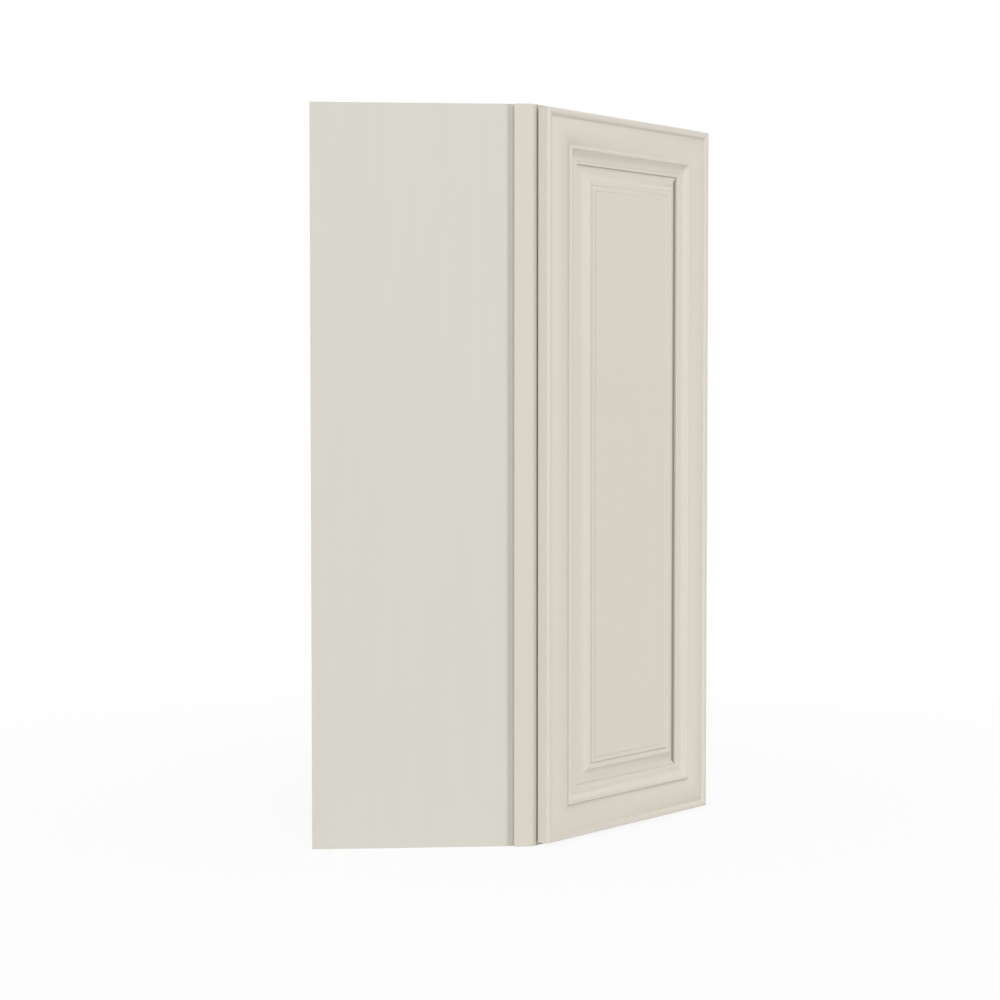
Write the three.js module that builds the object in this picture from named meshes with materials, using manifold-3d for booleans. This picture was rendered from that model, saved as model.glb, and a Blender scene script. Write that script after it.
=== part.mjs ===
// A tall wall cabinet for the corner of a kitchen: two box sides, a diagonal face frame between them,
// one full-overlay raised-panel door on three cup hinges, and three shelves on pegs.
//
// Sizes are in millimetres, +Z up. The pieces are drawn in plan from the corner of the room: the
// right-hand wall runs along +X, the left-hand wall along -Y. The finished group is then moved so that
// its origin is the centre of the footprint, level with the underside.

import * as THREE from "three";
import { mergeVertices } from "three/addons/utils/BufferGeometryUtils.js";
import Module from "manifold-3d";

const wasm = await Module();
wasm.setup();

// ---------------------------------------------------------------- driving dimensions

// The box
const cabinetHeight = 1066.8;
const wallLength = 609.6; // along each wall, from the corner to the outside of a side
const sideDepth = 317.5; // each end, from its wall to the diagonal face
const sideThickness = 12.7;
const backThickness = 12.7;
const deckThickness = 12.7; // top and bottom panels
const topRecess = 12.7; // top panel below the top edge of the sides
const bottomRecess = 25.4; // bottom panel above the lower edge of the sides
const railRecess = 12.7; // how far the backs stand in from the walls, filled by the hanging rails
const hangingRailHeight = 76.2;
const housingDepth = 6; // grooves and dadoes in the sides

// The face frame
const frameThickness = 19.05;
const frameWidth = 38.1;
const frameProud = 4.8; // how far the frame's edge stands out from the side panel
const frameArris = 1.2;
const rabbetWidth = 7; // of the shadow gap down the side panel, clear of the frame
const rabbetDepth = 1.6;

// The shelves and their pegs
const shelfThickness = 19.05;
const shelfCount = 3;
const shelfGap = 1.5; // round the sides and backs
const shelfSetback = 8; // behind the face frame
const holePitch = 32;
const firstHole = 150; // height of the lowest hole
const lastHole = 150; // the highest hole is at least this far below the top panel
const pegRadius = 2.2;
const pegDepth = 9;
const pegHeadRadius = 3.2;
const pegHeadLength = 8;
const pegCollar = 1; // its thickness, and how far it stands out from the head
const pegBevel = 0.6;
const sidePegInset = 215; // from the wall to the pegs in a side
const backPegInset = 150; // from the corner to the pegs in a back

// The door
const doorThickness = 19.6;
const doorGap = 3; // between the back of the door and the face frame
const endReveal = 5; // face frame left showing above and below the door
const memberWidth = 75; // stiles and rails of the door
const lipThickness = 4; // behind the groove for the panel
const grooveWidth = 5.7;
const frontLip = 1.9; // in front of the groove
const tongueLength = 9;
const tongueRoom = 1; // between the tongue and the bottom of its groove
const fieldSetback = 0.4; // raised field of the panel, behind the front of the door
const hingeInset = 100; // from the ends of the door to the outer hinges
const bumperRadius = 4;
const bumperInset = 30; // from the ends of the door

// The moulding of the door's members
const beadWidth = 8.4; // round the outside of the door
const beadCorner = 3.7; // how far its rounding reaches down the edge of the door
const beadSetback = 0.5; // behind the front of the door
const quirkDepth = 2;
const quirkWidth = 1.6;
const cushionPull = 2.6; // height of the points that draw the cushion's crown, above the quirks
const ridgeWidth = 9;
const ridgeInset = 18; // from the inner edge to the foot of the ridge
const ogeeInset = 5.4; // from the inner edge to the fillet below the ogee
const fillet = 0.6;
const innerBevel = 0.8;

// The moulding of the raised panel, inward from the door's members
const slopeStart = 6;
const slopeWidth = 12.6;
const outerBeadWidth = 8.2;
const innerBeadWidth = 6.4;
const beadShoulder = 0.5; // edges of the beads, behind the field
const panelQuirkDepth = 1.4;
const panelQuirkWidth = 1.6;

// The hinges
const hingePlaces = ["lower", "middle", "upper"];
const cupRadius = 17.2;
const cupWall = 0.9;
const cupDepth = 13;
const cupTab = 3; // door left between its edge and the bore for the cup
const cupBevel = 1.5;
const flangeThickness = 1;
const flangeRim = 1.5; // ring of the flange round the cup
const earReach = 5.3; // from the outside of the cup to the screw in each ear
const earOffset = 9.5; // ears, from the middle of the cup toward the middle of the door
const earRadius = 5.5;
const earHoleRadius = 2;
const pinRadius = 1.2;
const pinToEdge = 0.6; // room between the door's corner and the frame as the door swings
const eyeWall = 0.6;
const armThickness = 2;
const armWidth = 6;
const neckRise = 1.6; // from the pin to the middle of the arm's neck
const neckRadius = 9;
const neckToCup = 0.5; // room between the neck and the floor of the cup
const neckToWall = 2.1; // and between the neck and the far wall of the cup
const plateThickness = 2;
const plateLength = 46;
const plateInset = 2; // plate, from the front and back of the face frame
const plateScrewSpacing = 32;
const plateHoleRadius = 2.2;

// Clearances
const fit = 0.3; // between pieces that touch

// ---------------------------------------------------------------- sizes that follow

const faceLength = (wallLength - sideDepth) * Math.SQRT2;
const sideOuter = wallLength - frameProud;
const sideInner = sideOuter - sideThickness;
const backInner = railRecess + backThickness;
const bottomDeckTop = bottomRecess + deckThickness;
const topDeckUnderside = cabinetHeight - topRecess - deckThickness;

// The hinge is measured from the hinged edge of the door and out from the face frame. The neck of its
// arm passes the far wall of the cup, and its foot lies on a plate on the inner edge of the stile, so
// the hinge sets how far the door laps over the stile.
const cupInner = cupRadius - cupWall;
const cupCentre = cupTab + fit + cupRadius;
const cupFloor = doorGap + cupDepth;
const armFoot = cupCentre + cupInner - neckToWall - armThickness / 2;
const overlay = armFoot - armThickness / 2 - fit - plateThickness - fit;
const sideReveal = frameWidth - overlay; // face frame left showing beside the door
const pinOut = cupFloor - cupWall - neckToCup - armThickness / 2 - neckRise;
const pinIn = Math.sqrt((pinOut - pinToEdge) ** 2 - (pinOut - doorGap) ** 2);

const doorWidth = faceLength - 2 * sideReveal;
const doorHeight = cabinetHeight - 2 * endReveal;

// ---------------------------------------------------------------- materials

const finish = (color, roughness, metalness = 0) => ({ color, roughness, metalness });
const cream = finish(0xd9d4c8, 0.42);
const greyPaint = finish(0xd7d7cf, 0.48);
const birch = finish(0xd9bd92, 0.55);
const zinc = finish(0xb9bcc0, 0.3, 1);
const clear = finish(0xe8eaea, 0.25);

// ---------------------------------------------------------------- helpers

// A prism standing on an outline of [x, y] points.
function prism(outline, bottom, top) {
  const shape = new THREE.Shape(outline.map(([x, y]) => new THREE.Vector2(x, y)));
  const geometry = new THREE.ExtrudeGeometry(shape, { depth: top - bottom, bevelEnabled: false });
  return geometry.translate(0, 0, bottom);
}

// A block between two corners.
function block([x0, y0, z0], [x1, y1, z1]) {
  const geometry = new THREE.BoxGeometry(x1 - x0, y1 - y0, z1 - z0);
  return geometry.translate((x0 + x1) / 2, (y0 + y1) / 2, (z0 + z1) / 2);
}

// A round bar from one point to another, along X, Y or Z.
function bar(axis, radius, from, to, [a, b], sides = 12) {
  const geometry = new THREE.CylinderGeometry(radius, radius, to - from, sides);
  const middle = (from + to) / 2;
  if (axis === "x") return geometry.rotateZ(Math.PI / 2).translate(middle, a, b);
  if (axis === "z") return geometry.rotateX(Math.PI / 2).translate(a, b, middle);
  return geometry.translate(a, middle, b);
}

// A closed geometry as a solid, and back.
function solid(geometry) {
  const bare = geometry.clone();
  bare.deleteAttribute("normal");
  bare.deleteAttribute("uv");
  const merged = mergeVertices(bare, 1e-4);
  const vertProperties = merged.attributes.position.array;
  const triVerts = new Uint32Array(merged.index.array);
  return new wasm.Manifold(new wasm.Mesh({ numProp: 3, vertProperties, triVerts }));
}

function surface(body) {
  const mesh = body.getMesh();
  const geometry = new THREE.BufferGeometry();
  geometry.setAttribute("position", new THREE.BufferAttribute(mesh.vertProperties, mesh.numProp));
  geometry.setIndex(new THREE.BufferAttribute(mesh.triVerts, 1));
  geometry.computeVertexNormals();
  return geometry;
}

function cut(geometry, cutters) {
  return surface(cutters.reduce((body, cutter) => body.subtract(solid(cutter)), solid(geometry)));
}

function join(geometries) {
  const [first, ...rest] = geometries.map(solid);
  return surface(rest.reduce((body, next) => body.add(next), first));
}

function named(name, geometry, look) {
  const mesh = new THREE.Mesh(geometry, new THREE.MeshStandardMaterial(look));
  mesh.name = name;
  return mesh;
}

// The cabinet is alike on both sides of the diagonal: the same outline, seen from the other wall.
const acrossDiagonal = (outline) => outline.map(([x, y]) => [-y, -x]);

// Points in plan lie on a line parallel to the diagonal face, this far behind it, where x - y is this.
const faceLine = (behind) => sideDepth + wallLength - behind * Math.SQRT2;

// ---------------------------------------------------------------- box

// A side panel: a groove for the back, dadoes for the top and bottom, a row of peg holes, a front edge
// cut at 45 degrees to meet the back of the face frame and a shallow rabbet beside the frame.
function sidePanel(mirror) {
  const front = faceLine(frameThickness + fit);
  const rabbet = faceLine(frameThickness) - wallLength - rabbetWidth;
  const rabbetFloor = sideOuter - rabbetDepth;
  const outline = [
    [0, -sideOuter],
    [rabbet, -sideOuter],
    [rabbet, -rabbetFloor],
    [front - rabbetFloor, -rabbetFloor],
    [front - sideInner, -sideInner],
    [backInner + fit, -sideInner],
    [backInner + fit, -sideInner - housingDepth],
    [railRecess - fit, -sideInner - housingDepth],
    [railRecess - fit, -sideInner],
    [0, -sideInner],
  ];
  const dado = (bottom) => {
    const low = [-1, -sideInner - housingDepth, bottom - fit];
    const high = [sideDepth, -sideInner + 1, bottom + deckThickness + fit];
    return block(low, high);
  };
  const depth = pegDepth + fit;
  const holes = holeHeights().map((z) => {
    return bar("y", pegRadius + fit, -sideInner - depth, -sideInner + 1, [sidePegInset, z], 8);
  });
  const dadoes = [dado(bottomRecess), dado(topDeckUnderside)];
  const left = cut(prism(outline, 0, cabinetHeight), [...dadoes, ...holes]);
  return mirror ? turnAcrossDiagonal(left) : left;
}

// Peg hole heights, from the lowest up.
function holeHeights() {
  const count = Math.floor((topDeckUnderside - lastHole - firstHole) / holePitch) + 1;
  return Array.from({ length: count }, (_, i) => firstHole + i * holePitch);
}

// The mirror image of a geometry in the diagonal plane, its faces kept pointing out.
function turnAcrossDiagonal(geometry) {
  const mirror = new THREE.Matrix4().set(0, -1, 0, 0, -1, 0, 0, 0, 0, 0, 1, 0, 0, 0, 0, 1);
  const turned = geometry.clone().applyMatrix4(mirror);
  const index = turned.index.array;
  for (let i = 0; i < index.length; i += 3) {
    [index[i + 1], index[i + 2]] = [index[i + 2], index[i + 1]];
  }
  turned.computeVertexNormals();
  return turned;
}

// The right back runs into the corner; the left back butts against it.
function backPanel(isRight) {
  const groove = -sideInner - housingDepth + fit;
  const end = isRight ? -railRecess : -backInner - fit;
  const outline = [
    [railRecess, groove],
    [backInner, groove],
    [backInner, end],
    [railRecess, end],
  ];
  const depth = pegDepth + fit;
  const holes = holeHeights().map((z) => {
    return bar("x", pegRadius + fit, backInner - depth, backInner + 1, [-backPegInset, z], 8);
  });
  const left = cut(prism(outline, bottomDeckTop + fit, topDeckUnderside - fit), holes);
  return isRight ? turnAcrossDiagonal(left) : left;
}

// Top and bottom panels: square into the corner, housed in both sides, cut off behind the face frame.
function deck(bottom) {
  const end = sideInner + housingDepth - fit;
  return prism(diagonalOutline(0, end, frameThickness + fit), bottom, bottom + deckThickness);
}

// A board that fills the corner, from the two walls to a line behind the diagonal face.
function diagonalOutline(inset, end, behind) {
  const front = faceLine(behind);
  return [
    [inset, -inset],
    [end, -inset],
    [end, end - front],
    [front - end, -end],
    [inset, -end],
  ];
}

function hangingRail(isRight, bottom) {
  const end = isRight ? 0 : -railRecess;
  const outline = [
    [0, -sideInner + fit],
    [railRecess - fit, -sideInner + fit],
    [railRecess - fit, end],
    [0, end],
  ];
  const placed = isRight ? acrossDiagonal(outline) : outline;
  return prism(placed, bottom, bottom + hangingRailHeight);
}

function box() {
  const group = new THREE.Group();
  const lowRail = bottomDeckTop + fit;
  const highRail = topDeckUnderside - fit - hangingRailHeight;
  group.add(
    named("left_side_panel", sidePanel(false), greyPaint),
    named("right_side_panel", sidePanel(true), greyPaint),
    named("left_back_panel", backPanel(false), birch),
    named("right_back_panel", backPanel(true), birch),
    named("top_panel", deck(topDeckUnderside), birch),
    named("bottom_panel", deck(bottomRecess), birch),
    named("upper_left_hanging_rail", hangingRail(false, highRail), birch),
    named("upper_right_hanging_rail", hangingRail(true, highRail), birch),
    named("lower_left_hanging_rail", hangingRail(false, lowRail), birch),
    named("lower_right_hanging_rail", hangingRail(true, lowRail), birch),
  );
  return group;
}

// ---------------------------------------------------------------- shelves

// Height of the pegs under a shelf: the hole just below where the shelf would share the space evenly.
function shelfHoleHeight(i) {
  const inside = topDeckUnderside - bottomDeckTop;
  const bay = (inside - shelfCount * shelfThickness) / (shelfCount + 1);
  const even = bottomDeckTop + bay + i * (bay + shelfThickness) - pegHeadRadius - fit;
  return firstHole + Math.floor((even - firstHole) / holePitch) * holePitch;
}

function shelf(i) {
  const underside = shelfHoleHeight(i) + pegHeadRadius + fit;
  const behind = frameThickness + shelfSetback;
  const outline = diagonalOutline(backInner + shelfGap, sideInner - shelfGap, behind);
  return prism(outline, underside, underside + shelfThickness);
}

// A peg, turned about its own axis: shank, collar against the board, head under the shelf.
function peg() {
  const profile = [
    [0, -pegDepth],
    [pegRadius - pegBevel, -pegDepth],
    [pegRadius, -pegDepth + pegBevel],
    [pegRadius, fit],
    [pegHeadRadius + pegCollar, fit],
    [pegHeadRadius + pegCollar, fit + pegCollar],
    [pegHeadRadius, fit + pegCollar],
    [pegHeadRadius, pegHeadLength - pegBevel],
    [pegHeadRadius - pegBevel, pegHeadLength],
    [0, pegHeadLength],
  ];
  return new THREE.LatheGeometry(profile.map(([r, y]) => new THREE.Vector2(r, y)), 12);
}

// Four pegs under each shelf: one in each side and one in each back, pointing into the cabinet.
function shelves() {
  const group = new THREE.Group();
  const seats = [
    ["left_side", sidePegInset, -sideInner, 0],
    ["right_side", sideInner, -sidePegInset, Math.PI / 2],
    ["left_back", backInner, -backPegInset, -Math.PI / 2],
    ["right_back", backPegInset, -backInner, Math.PI],
  ];
  for (let i = 0; i < shelfCount; i += 1) {
    group.add(named(`shelf_${i + 1}`, shelf(i), birch));
    for (const [place, x, y, turn] of seats) {
      const mesh = named(`shelf_${i + 1}_${place}_peg`, peg(), zinc);
      mesh.position.set(x, y, shelfHoleHeight(i));
      mesh.rotation.z = turn;
      group.add(mesh);
    }
  }
  return group;
}

// ---------------------------------------------------------------- face frame

// Drawn in a frame of its own: X runs along the diagonal face from its left end, -Y points out of it.
function frameStile(isRight) {
  const shape = new THREE.Shape();
  const bevel = frameArris * Math.SQRT1_2;
  shape.moveTo(frameWidth, frameThickness);
  shape.lineTo(-frameThickness, frameThickness);
  shape.lineTo(-bevel, bevel);
  shape.quadraticCurveTo(0, 0, frameArris, 0);
  shape.lineTo(frameWidth - frameArris, 0);
  shape.quadraticCurveTo(frameWidth, 0, frameWidth, frameArris);
  const outline = shape.getPoints(4).map(({ x, y }) => [isRight ? faceLength - x : x, y]);
  return prism(outline, 0, cabinetHeight);
}

function frameRail(bottom) {
  const low = [frameWidth + fit, 0, bottom];
  const high = [faceLength - frameWidth - fit, frameThickness, bottom + frameWidth];
  return block(low, high);
}

function faceFrame() {
  const group = new THREE.Group();
  group.add(
    named("frame_left_stile", frameStile(false), cream),
    named("frame_right_stile", frameStile(true), cream),
    named("frame_top_rail", frameRail(cabinetHeight - frameWidth), cream),
    named("frame_bottom_rail", frameRail(0), cream),
  );
  return group;
}

// ---------------------------------------------------------------- door

// The moulding of a door member, from its outer edge inward: a small bead, a quirk, a broad cushion,
// a second quirk, a ridge that falls as an ogee to a fillet, and the groove that holds the panel.
function memberSection() {
  const top = doorThickness;
  const bead = top - beadSetback;
  const quirk = top - quirkDepth;
  const cushion = beadWidth + quirkWidth;
  const ridgeEnd = memberWidth - ridgeInset;
  const ridge = ridgeEnd - ridgeWidth;
  const cushionEnd = ridge - quirkWidth;
  const crown = quirk + cushionPull;
  const [rising, falling] = [(cushionEnd - cushion) / 6, (cushionEnd - cushion) / 3];
  const ogeeEnd = memberWidth - ogeeInset;
  const ogee = ogeeEnd - ridgeEnd;
  const ledge = lipThickness + grooveWidth + frontLip;
  const step = ledge + fillet;
  const groove = memberWidth - tongueLength - tongueRoom;
  const path = new THREE.Path();
  path.moveTo(0, 0);
  path.lineTo(0, bead - beadCorner);
  path.quadraticCurveTo(0, bead, beadWidth / 2, bead);
  path.quadraticCurveTo(beadWidth * 0.8, bead, beadWidth, quirk);
  path.lineTo(cushion, quirk);
  path.bezierCurveTo(cushion + rising, crown, cushionEnd - falling, crown, cushionEnd, quirk);
  path.lineTo(ridge, quirk);
  path.quadraticCurveTo(ridge + ridgeWidth / 8, top, ridge + ridgeWidth / 2, top);
  path.quadraticCurveTo(ridgeEnd - ridgeWidth / 5, top, ridgeEnd, quirk);
  path.bezierCurveTo(ridgeEnd + ogee / 4, (quirk + step) / 2, ogeeEnd - ogee / 2, step, ogeeEnd, step);
  path.lineTo(ogeeEnd + fillet / 2, ledge);
  path.lineTo(memberWidth - innerBevel, ledge);
  path.lineTo(memberWidth, ledge - innerBevel);
  path.lineTo(memberWidth, lipThickness + grooveWidth);
  path.lineTo(groove, lipThickness + grooveWidth);
  path.lineTo(groove, lipThickness);
  path.lineTo(memberWidth, lipThickness);
  path.lineTo(memberWidth, 0);
  return path.getPoints(7);
}

// A member with mitred ends. Its section is drawn with X inward from the outer edge and Y out from
// the back of the door; `inward`, `outward` and `along` say which way those and its length point.
function doorMember(length, inward, outward, along, origin) {
  const shape = new THREE.Shape(memberSection());
  const geometry = new THREE.ExtrudeGeometry(shape, { depth: length, bevelEnabled: false });
  const position = geometry.attributes.position;
  const halfGap = fit * Math.SQRT1_2;
  for (let i = 0; i < position.count; i += 1) {
    const inset = position.getX(i) + halfGap;
    position.setZ(i, position.getZ(i) === 0 ? inset : length - inset);
  }
  const axes = [inward, outward, along].map((axis) => new THREE.Vector3(...axis));
  geometry.applyMatrix4(new THREE.Matrix4().makeBasis(...axes));
  geometry.translate(...origin);
  geometry.computeVertexNormals();
  return geometry;
}

// One edge of the raised panel, from the tongue inward: tongue, slope, bead, quirk, bead, quirk, field.
function panelEdge() {
  const tongue = lipThickness + grooveWidth - fit;
  const field = doorThickness - fieldSetback;
  const shoulder = field - beadShoulder;
  const quirk = field - panelQuirkDepth;
  const slope = memberWidth + slopeStart;
  const outer = slope + slopeWidth;
  const outerEnd = outer + outerBeadWidth;
  const inner = outerEnd + panelQuirkWidth;
  const innerEnd = inner + innerBeadWidth;
  const path = new THREE.Path();
  path.moveTo(memberWidth - tongueLength, tongue);
  path.lineTo(slope, tongue);
  const turn = tongue + (quirk - tongue) / 2;
  path.bezierCurveTo(outer - slopeWidth / 3, tongue, outer - slopeWidth / 10, turn, outer, quirk);
  path.quadraticCurveTo(outer + outerBeadWidth / 8, field, outer + outerBeadWidth / 2, field);
  path.quadraticCurveTo(outerEnd - outerBeadWidth / 8, field, outerEnd, shoulder);
  path.lineTo(outerEnd + panelQuirkWidth / 2, quirk);
  path.lineTo(inner, shoulder);
  path.quadraticCurveTo(inner + innerBeadWidth / 2, field + beadShoulder, innerEnd, shoulder);
  path.lineTo(innerEnd + panelQuirkWidth / 2, quirk);
  path.lineTo(innerEnd + panelQuirkWidth, field);
  return path.getPoints(5).map(({ x, y }) => [x, y]);
}

// The section of the whole panel across a door of this size, with both of its edges.
function panelSection(size) {
  const start = memberWidth - tongueLength;
  const back = lipThickness + fit;
  const edge = panelEdge();
  const farEdge = edge.map(([x, y]) => [size - x, y]).reverse();
  return [[start, back], ...edge, ...farEdge, [size - start, back]];
}

// Raised on all four sides: what the section across the width and the one up the height share.
function doorPanel() {
  const across = prism(panelSection(doorWidth), 0, doorHeight);
  across.applyMatrix4(axesTo([1, 0, 0], [0, -1, 0], [0, 0, -1])).translate(0, 0, doorHeight);
  const up = prism(panelSection(doorHeight), 0, doorWidth);
  up.applyMatrix4(axesTo([0, 0, 1], [0, -1, 0], [1, 0, 0]));
  return surface(solid(across).intersect(solid(up)));
}

// The matrix that turns X, Y and Z to the three given directions.
function axesTo(...directions) {
  return new THREE.Matrix4().makeBasis(...directions.map((d) => new THREE.Vector3(...d)));
}

// Heights of the hinges above the underside of the cabinet, evenly spread.
function hingeHeights() {
  const span = doorHeight - 2 * hingeInset;
  return hingePlaces.map((_, i) => endReveal + hingeInset + (span * i) / (hingePlaces.length - 1));
}

// The hinged stile, bored from behind for the hinge cups.
function boredStile() {
  const stile = doorMember(doorHeight, [-1, 0, 0], [0, -1, 0], [0, 0, 1], [doorWidth, 0, 0]);
  const bores = hingeHeights().map((z) => {
    const at = [doorWidth - cupCentre, z - endReveal];
    return bar("y", cupRadius + fit, -cupDepth - fit, 1, at, 40);
  });
  return cut(stile, bores);
}

// A soft stop on the back of the door, over the middle of the frame's stile.
function bumper(z) {
  return bar("y", bumperRadius, fit, doorGap - fit, [frameWidth / 2 - sideReveal, z], 16);
}

// Drawn with X from the door's free edge, -Y out of its front and Z up from its lower edge.
function door() {
  const group = new THREE.Group();
  group.position.set(sideReveal, -doorGap, endReveal);
  const out = [0, -1, 0];
  const topRight = [doorWidth, 0, doorHeight];
  group.add(
    named("door_left_stile", doorMember(doorHeight, [1, 0, 0], out, [0, 0, -1], [0, 0, doorHeight]), cream),
    named("door_right_stile", boredStile(), cream),
    named("door_top_rail", doorMember(doorWidth, [0, 0, -1], out, [-1, 0, 0], topRight), cream),
    named("door_bottom_rail", doorMember(doorWidth, [0, 0, 1], out, [1, 0, 0], [0, 0, 0]), cream),
    named("door_panel", doorPanel(), cream),
    named("upper_bumper", bumper(doorHeight - bumperInset), clear),
    named("lower_bumper", bumper(bumperInset), clear),
  );
  return group;
}

// ---------------------------------------------------------------- hinges

// Each hinge is drawn level with its own middle, X from the hinged edge of the door toward its free
// edge, Y out of the face frame. The door turns on the pin in the cup.

// The cup with its flange against the back of the door, and the pin across it.
function hingeCup() {
  const mouth = doorGap - fit - flangeThickness;
  const floor = cupFloor - cupWall;
  const profile = [
    [0, floor],
    [cupInner - cupBevel, floor],
    [cupInner, floor - cupBevel],
    [cupInner, mouth],
    [cupRadius, mouth],
    [cupRadius, cupFloor - cupBevel],
    [cupRadius - cupBevel, cupFloor],
    [0, cupFloor],
  ];
  const shell = new THREE.LatheGeometry(profile.map(([r, y]) => new THREE.Vector2(r, y)), 40);
  shell.translate(cupCentre, 0, 0);
  const reach = Math.sqrt(cupInner ** 2 - (cupCentre - pinIn) ** 2) + cupWall / 2;
  const pin = bar("z", pinRadius, -reach, reach, [pinIn, pinOut], 12);
  return join([shell, hingeFlange(), pin]);
}

// The flange: a ring round the mouth with an ear above and below for the screws.
function hingeFlange() {
  const ears = roundedPlate(earRadius, 2 * (cupRadius + earReach + earRadius), flangeThickness);
  ears.rotateX(Math.PI / 2).translate(cupCentre + earOffset, doorGap - fit, 0);
  const from = doorGap - fit - flangeThickness;
  const ring = bar("y", cupRadius + flangeRim, from, doorGap - fit, [cupCentre, 0], 40);
  const mouth = bar("y", cupInner, from - 1, doorGap, [cupCentre, 0], 40);
  const holes = [-1, 1].map((side) => {
    const at = [cupCentre + earOffset, side * (cupRadius + earReach)];
    return bar("y", earHoleRadius, from - 1, doorGap, at, 12);
  });
  return cut(join([ears, ring]), [mouth, ...holes]);
}

// A round-ended plate, long in Y, on the XY plane.
function roundedPlate(radius, length, thickness) {
  const half = length / 2 - radius;
  const shape = new THREE.Shape();
  shape.moveTo(radius, -half);
  shape.lineTo(radius, half);
  shape.absarc(0, half, radius, 0, Math.PI, false);
  shape.lineTo(-radius, -half);
  shape.absarc(0, -half, radius, Math.PI, 2 * Math.PI, false);
  return new THREE.ExtrudeGeometry(shape, { depth: thickness, bevelEnabled: false, curveSegments: 10 });
}

// The arm: an eye on the cup's pin, a gooseneck along the floor of the cup and out of its mouth, and a
// foot that lies on the mounting plate, slotted for its screw.
function hingeArm() {
  const neckOut = pinOut + neckRise;
  const eyeBore = pinRadius + fit;
  const eyeRadius = eyeBore + eyeWall;
  const path = new THREE.Path();
  path.moveTo(pinIn + eyeRadius - eyeWall / 2, pinOut);
  const [leave, level, straight] = [1.5, 2, 3].map((reach) => pinIn + reach * eyeRadius);
  path.bezierCurveTo(leave, neckOut, level, neckOut, straight, neckOut);
  path.lineTo(armFoot - neckRadius, neckOut);
  path.absarc(armFoot - neckRadius, neckOut - neckRadius, neckRadius, Math.PI / 2, 0, true);
  path.lineTo(armFoot, -2 * plateInset);
  const neck = path.getPoints(8);
  const wide = neck.filter(({ x }) => x > cupCentre);
  const foot = [neck.at(-1), new THREE.Vector2(armFoot, plateInset / 2 - frameThickness)];
  const eye = bar("z", eyeRadius, -armWidth / 2, armWidth / 2, [pinIn, pinOut], 16);
  const bore = bar("z", eyeBore, -armWidth, armWidth, [pinIn, pinOut], 16);
  const slotAt = [-frameThickness / 2, 0];
  const slot = bar("x", plateHoleRadius, armFoot - armThickness, armFoot + armThickness, slotAt, 12);
  const body = join([strip(neck, armWidth), strip(wide, 2 * armWidth), strip(foot, 2.6 * armWidth), eye]);
  return cut(body, [bore, slot]);
}

// A bent strip of even thickness along a line of points, this wide along Z.
function strip(line, width) {
  const half = armThickness / 2;
  const normal = (i) => {
    const before = line[Math.max(i - 1, 0)];
    const after = line[Math.min(i + 1, line.length - 1)];
    return new THREE.Vector2(before.y - after.y, after.x - before.x).setLength(half);
  };
  const left = line.map((point, i) => point.clone().add(normal(i)));
  const right = line.map((point, i) => point.clone().sub(normal(i)));
  const outline = [...left, ...right.reverse()].map(({ x, y }) => [x, y]);
  return prism(outline, -width / 2, width / 2);
}

// The plate on the inner edge of the frame's stile, with two screw holes.
function hingePlate() {
  const geometry = roundedPlate(frameThickness / 2 - plateInset, plateLength, plateThickness);
  geometry.applyMatrix4(axesTo([0, 1, 0], [0, 0, 1], [1, 0, 0]));
  geometry.translate(overlay + fit, -frameThickness / 2, 0);
  const holes = [-1, 1].map((side) => {
    const at = [-frameThickness / 2, (side * plateScrewSpacing) / 2];
    return bar("x", plateHoleRadius, overlay, overlay + 2 * plateThickness, at, 12);
  });
  return cut(geometry, holes);
}

function hinges() {
  const group = new THREE.Group();
  hingeHeights().forEach((z, i) => {
    const hinge = new THREE.Group();
    hinge.position.set(faceLength - sideReveal, 0, z);
    hinge.rotation.z = Math.PI;
    hinge.add(
      named(`${hingePlaces[i]}_hinge_cup`, hingeCup(), zinc),
      named(`${hingePlaces[i]}_hinge_arm`, hingeArm(), zinc),
      named(`${hingePlaces[i]}_hinge_plate`, hingePlate(), zinc),
    );
    group.add(hinge);
  });
  return group;
}

// ---------------------------------------------------------------- assembly

// What stands on the diagonal face is drawn along it, from its left end.
const face = new THREE.Group();
face.position.set(sideDepth, -wallLength, 0);
face.rotation.z = Math.PI / 4;
face.add(faceFrame(), door(), hinges());

const plan = new THREE.Group();
plan.add(box(), shelves(), face);

const cabinet = new THREE.Group();
cabinet.add(plan);
cabinet.updateMatrixWorld(true);
const centre = new THREE.Box3().setFromObject(cabinet, true).getCenter(new THREE.Vector3());
plan.position.set(-centre.x, -centre.y, 0);

export default cabinet;
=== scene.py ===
# %% [markdown]
# # A corner wall cabinet
#
# The cabinet hangs in the corner of a kitchen: its two backs lie against the walls, a side closes each
# end, a face frame stands across the diagonal between the sides, and one raised-panel door hangs on it.
# Its pieces already exist at their true size, in metres, as the frame that this lesson starts from. The
# lesson gives them their finish, and models again, more finely, those that show mouldings and edges.

# %% Load the pieces
import math

import bmesh
import bpy
from mathutils import Matrix, Vector
from mathutils.geometry import interpolate_bezier


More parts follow.
